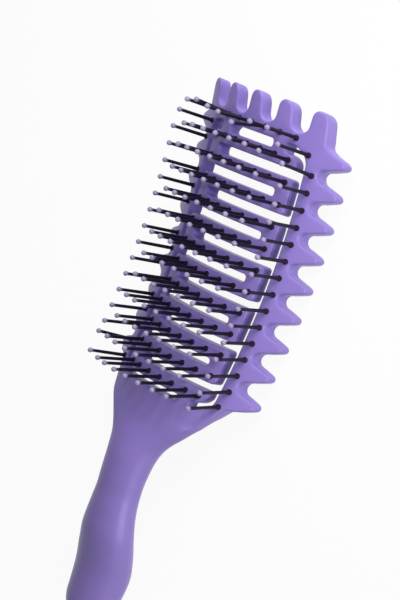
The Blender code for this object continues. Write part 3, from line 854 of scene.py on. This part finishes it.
def add_neck_line(surface, ring, at_back):
    """Points across the neck's end, from the left to the right, between the ends of a ring of the wall."""
    half = surface.points[ring[0]][0]
    x = np.linspace(-half, half, int(2 * half / FACE_SPACING) + 1)[1:-1]
    y = np.full(len(x), NECK_END)
    return surface.add(lift(np.column_stack([x, y]), at_back * thickness(x, y)))


def make_moulding(material):
    """The lavender moulding: head, fins, slotted bed, neck and handle."""
    surface = Surface()
    outer = add_outer_wall(surface)
    face_rings, back_rings = add_slots(surface)
    for _, places, width, _ in lines_of_pins():
        back_rings.append(add_channel(surface, places, width))
    face_end = add_neck_line(surface, outer[0], 0.0)
    back_end = add_neck_line(surface, outer[-1], 1.0)
    surface.fill([outer[0] + face_end] + face_rings, face_height)
    surface.fill([outer[-1] + back_end] + back_rings, lambda x, y: face_height(x, y) - thickness(x, y))
    right_side = [ring[0] for ring in outer]
    left_side = [ring[-1] for ring in outer]
    add_handle(surface, left_side[::-1] + face_end + right_side + back_end[::-1])
    piece = surface.make("moulding", material, "lavender_plastic")
    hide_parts("frame")


# Pins


def pin_direction(name, index, x, y):
    """The way a pin points: out to the sides, and a little towards the handle. A few stand crooked."""
    along = (y + FACE_HALF_LENGTH) / FACE_HALF_LENGTH
    way = Vector((math.tan(PIN_FAN) * x / RAIL_PIN_X, math.tan(PIN_LEAN + PIN_LEAN_CHANGE * along), 1.0))
    for line, number, across, forward in CROOKED_SHARES:
        if line == name and number == index + 1:
            way += Vector((across, forward, 0.0))
    return way.normalized()


def add_lathe(surface, root, way, profile, sides):
    """A round body along a straight line: the profile lists places along it and radii."""
    side = way.orthogonal().normalized()
    other = way.cross(side)
    last_ring = None
    for place, radius in profile:
        centre = root + way * place
        ring = surface.add([centre + (side * math.cos(turn) + other * math.sin(turn)) * radius
                            for turn in (2 * HALF_TURN * step / sides for step in range(sides))])
        if last_ring is None:
            surface.fan(ring, centre)
        else:
            surface.band(last_ring, ring)
        last_ring = ring
    surface.fan(last_ring, root + way * (profile[-1][0] + profile[-1][1] * TIP_BULGE_SHARE))


def pin_profile(length):
    """A pin from inside its strip: the root, the round knob on the face, and the tapering shaft."""
    profile = [(-SKIN - ROOT_DEPTH, ROOT_RADIUS), (-KNOB_RADIUS, ROOT_RADIUS)]
    for degrees in KNOB_DEGREES:
        turn = math.radians(degrees)
        profile.append((KNOB_RADIUS * math.sin(turn) - KNOB_SINK, KNOB_RADIUS * math.cos(turn)))
    top = profile[-1][0]
    profile.append((top + FILLET_START, PIN_RADIUS + FILLET_WIDTH))
    profile.append((top + FILLET_END, PIN_RADIUS))
    for share in SHAFT_SHARES:
        profile.append((share * length, PIN_RADIUS + (PIN_TOP_RADIUS - PIN_RADIUS) * share))
    profile.append((length, PIN_TOP_RADIUS))
    return profile


def ball_profile(length):
    """The ball on a pin's end, with a short collar round the pin."""
    profile = [(length - BALL_RADIUS - COLLAR_HEIGHT, PIN_TOP_RADIUS + COLLAR_WIDTH)]
    for degrees in BALL_DEGREES:
        turn = math.radians(degrees)
        profile.append((length + BALL_RADIUS * math.sin(turn), BALL_RADIUS * math.cos(turn)))
    return profile


def add_strip(surface, places, width):
    """The strip that carries a line of pins, in its channel."""
    ring = strip_ring(places, width, 0.0)
    side = 1 if turns_left(ring) else -1
    inner = offset(ring, np.full(len(ring), side * STRIP_BEVEL), True)
    upper = surface.add(lift(ring, SKIN + GAP))
    lower = surface.add(lift(ring, thickness(ring[:, 0], ring[:, 1]) - GAP - STRIP_BEVEL))
    bottom = surface.add(lift(inner, thickness(inner[:, 0], inner[:, 1]) - GAP))
    surface.band(upper, lower)
    surface.band(lower, bottom)
    for edge in (upper, lower, bottom):
        surface.crease(edge)
    surface.fill([upper], lambda x, y: face_height(x, y) - SKIN - GAP)
    surface.fill([bottom], lambda x, y: face_height(x, y) - thickness(x, y) + GAP)


def make_pins(line, nylon, pearl):
    """A line of pins with its strip, and the ball tips on it."""
    name, places, width, length = line
    pins = Surface()
    tips = Surface()
    add_strip(pins, places, width)
    for index, (x, y) in enumerate(places):
        root = Vector((x, y, face_height(x, y)))
        way = pin_direction(name, index, x, y)
        add_lathe(pins, root, way, pin_profile(length), PIN_SIDES)
        add_lathe(tips, root, way, ball_profile(length), BALL_SIDES)
    for surface, prefix, material in ((pins, "nylon_", nylon), (tips, "tips_", pearl)):
        piece = surface.make(prefix + name, material, "black_nylon")
        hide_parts("pins_" + name)


# Materials

# The values of the noise at which a plastic is darkest and lightest
DARK_AT = 0.3
LIGHT_AT = 0.7

# The fine skin: its scale over that of the colour drift, its change of roughness, and its depth in metres
SKIN_FINENESS = 40
SMOOTHER = 0.05
ROUGHER = 0.07
SKIN_RELIEF = 0.0002


def new_material(name):
    """A material with its shader and its links ready to use."""
    material = bpy.data.materials.new(name)
    material.use_nodes = True
    tree = material.node_tree
    return material, tree, tree.nodes["Principled BSDF"]


def add_node(tree, kind, **values):
    """A node with values set on its inputs by name, or on itself."""
    node = tree.nodes.new(kind)
    for key, value in values.items():
        if key in node.inputs:
            node.inputs[key].default_value = value
        else:
            setattr(node, key, value)
    return node


def moulded(name, colour, light, dark, roughness, gloss, bump, scale):
    """A moulded plastic: slow colour drift, uneven roughness and a fine skin."""
    material, tree, shader = new_material(name)
    shader.inputs["Specular IOR Level"].default_value = gloss
    place = add_node(tree, "ShaderNodeTexCoord")
    drift = add_node(tree, "ShaderNodeTexNoise", Scale=scale, Detail=3.0, Roughness=0.5)
    tree.links.new(place.outputs["Object"], drift.inputs["Vector"])
    ramp = add_node(tree, "ShaderNodeValToRGB")
    for stop, at, strength in zip(ramp.color_ramp.elements, (DARK_AT, LIGHT_AT), (dark, light)):
        stop.position = at
        stop.color = (*[value * strength for value in colour], 1.0)
    tree.links.new(drift.outputs["Fac"], ramp.inputs["Fac"])
    tree.links.new(ramp.outputs["Color"], shader.inputs["Base Color"])
    skin = add_node(tree, "ShaderNodeTexNoise", Scale=scale * SKIN_FINENESS, Detail=4.0, Roughness=0.6)
    tree.links.new(place.outputs["Object"], skin.inputs["Vector"])
    span = {"To Min": roughness - SMOOTHER, "To Max": roughness + ROUGHER}
    uneven = add_node(tree, "ShaderNodeMapRange", **span)
    tree.links.new(skin.outputs["Fac"], uneven.inputs["Value"])
    tree.links.new(uneven.outputs["Result"], shader.inputs["Roughness"])
    relief = add_node(tree, "ShaderNodeBump", Strength=bump, Distance=SKIN_RELIEF)
    tree.links.new(skin.outputs["Fac"], relief.inputs["Height"])
    tree.links.new(relief.outputs["Normal"], shader.inputs["Normal"])
    return material


lavender = moulded("lavender_plastic", colour=(0.256, 0.182, 0.565), light=1.04, dark=0.96,
                   roughness=0.33, gloss=0.36, bump=0.12, scale=40.0)
nylon = moulded("black_nylon", colour=(0.010, 0.006, 0.020), light=1.3, dark=0.8,
                roughness=0.42, gloss=0.15, bump=0.10, scale=120.0)
pearl = moulded("ball_tip", colour=(0.32, 0.27, 0.47), light=1.08, dark=0.9,
                roughness=0.32, gloss=0.4, bump=0.05, scale=300.0)

make_moulding(lavender)
for line in lines_of_pins():
    make_pins(line, nylon, pearl)

# Camera

# Its axes and its place in the head's frame, and its focal length, from a fit to the roots of the pins
CAMERA_RIGHT = Vector((0.70486325, 0.3428029, -0.62101045))
CAMERA_UP = Vector((-0.34807547, 0.92997502, 0.11827906))
CAMERA_BACK = Vector((0.61807061, 0.13278794, 0.77482649))
CAMERA_PLACE = Vector((327.12, -6.425, 408.236))
FOCAL_PIXELS = 1263.5
IMAGE_HEIGHT = 600
SENSOR_HEIGHT = 24


def make_camera():
    """The camera at the photograph's viewing angle."""
    data = bpy.data.cameras.new("camera")
    data.sensor_fit = "VERTICAL"
    data.sensor_height = SENSOR_HEIGHT
    data.sensor_width = SENSOR_HEIGHT
    data.lens = FOCAL_PIXELS / IMAGE_HEIGHT * SENSOR_HEIGHT
    data.clip_start = 0.01
    camera = bpy.data.objects.new("camera", data)
    bpy.context.scene.collection.objects.link(camera)
    head = Matrix.Translation(Vector(REST_SHIFT) * MM) @ Matrix.Rotation(REST_TILT, 4, "X")
    columns = (CAMERA_RIGHT, CAMERA_UP, CAMERA_BACK, CAMERA_PLACE * MM)
    eye = Matrix([column.to_4d() for column in columns]).transposed()
    eye[3] = (0.0, 0.0, 0.0, 1.0)
    camera.matrix_world = head @ eye
    bpy.context.scene.camera = camera


make_camera()

# Light and floor

WORLD_LIGHT = 0.1
WHITE = (1.0, 1.0, 1.0, 1.0)
FLOOR_GREY = (0.9, 0.9, 0.9, 1.0)
FLOOR_ROUGHNESS = 0.9
FLOOR_GLOW = 0.93
FLOOR_HALF = 2.5
FLOOR_GAP = 0.0005
NEUTRAL = (1.0, 1.0, 1.0)
WARM = (1.0, 1.0, 0.9)
ORIGIN = Vector((0.0, 0.0, 0.0))
HEAD_MIDDLE = Vector((0.0, 0.04, 0.03))


def seen_directly(tree):
    """1 for rays from the camera, mirrors and glass, and 0 for the rays that light the object."""
    path = add_node(tree, "ShaderNodeLightPath")
    total = path.outputs["Is Camera Ray"]
    for other in ("Is Glossy Ray", "Is Transmission Ray"):
        either = add_node(tree, "ShaderNodeMath", operation="MAXIMUM")
        tree.links.new(total, either.inputs[0])
        tree.links.new(path.outputs[other], either.inputs[1])
        total = either.outputs[0]
    return total


def make_world():
    """A weak even light from all round, which the camera sees as plain white."""
    world = bpy.data.worlds.new("studio")
    bpy.context.scene.world = world
    world.use_nodes = True
    tree = world.node_tree
    background = tree.nodes["Background"]
    background.inputs["Color"].default_value = WHITE
    level = add_node(tree, "ShaderNodeMapRange", **{"To Min": WORLD_LIGHT, "To Max": 1.0})
    tree.links.new(seen_directly(tree), level.inputs["Value"])
    tree.links.new(level.outputs["Result"], background.inputs["Strength"])


def make_floor():
    """A pale floor that keeps the shadow, and that the camera sees as nearly white."""
    mesh = bpy.data.meshes.new("floor")
    corners = [(-FLOOR_HALF, -FLOOR_HALF, 0), (FLOOR_HALF, -FLOOR_HALF, 0),
               (FLOOR_HALF, FLOOR_HALF, 0), (-FLOOR_HALF, FLOOR_HALF, 0)]
    mesh.from_pydata(corners, [], [(0, 1, 2, 3)])
    floor = bpy.data.objects.new("floor", mesh)
    bpy.context.scene.collection.objects.link(floor)
    floor.location.z = cad_low.z - FLOOR_GAP
    material, tree, shader = new_material("floor")
    shader.inputs["Base Color"].default_value = FLOOR_GREY
    shader.inputs["Roughness"].default_value = FLOOR_ROUGHNESS
    shader.inputs["Specular IOR Level"].default_value = 0.0
    glow = add_node(tree, "ShaderNodeEmission", Strength=1.0)
    share = add_node(tree, "ShaderNodeMath", operation="MULTIPLY")
    share.inputs[1].default_value = FLOOR_GLOW
    tree.links.new(seen_directly(tree), share.inputs[0])
    mix = add_node(tree, "ShaderNodeMixShader")
    tree.links.new(share.outputs[0], mix.inputs[0])
    tree.links.new(shader.outputs[0], mix.inputs[1])
    tree.links.new(glow.outputs[0], mix.inputs[2])
    tree.links.new(mix.outputs[0], tree.nodes["Material Output"].inputs["Surface"])
    mesh.materials.append(material)


def add_lamp(name, way, distance, size, power, target=ORIGIN, colour=NEUTRAL):
    """A square soft lamp that shines on the middle of the brush, or on another place."""
    data = bpy.data.lights.new(name, "AREA")
    data.shape = "SQUARE"
    data.size = size
    data.energy = power
    data.color = colour
    lamp = bpy.data.objects.new(name, data)
    bpy.context.scene.collection.objects.link(lamp)
    way = way.normalized()
    lamp.location = target + way * distance
    lamp.rotation_mode = "QUATERNION"
    lamp.rotation_quaternion = way.to_track_quat("Z", "Y")


make_world()
make_floor()
add_lamp("front", CAMERA_BACK * 0.87 + CAMERA_UP * 0.5,
         distance=0.34, size=0.2, power=0.88, target=HEAD_MIDDLE)
add_lamp("side", Vector((0.96, -0.15, 0.2)),
         distance=0.8, size=0.4, power=3.1, target=HEAD_MIDDLE, colour=WARM)
add_lamp("top", CAMERA_BACK * 0.35 + CAMERA_RIGHT * 0.1 + CAMERA_UP * 0.93,
         distance=0.9, size=0.5, power=3.0)

bpy.context.scene.view_settings.view_transform = "Standard"
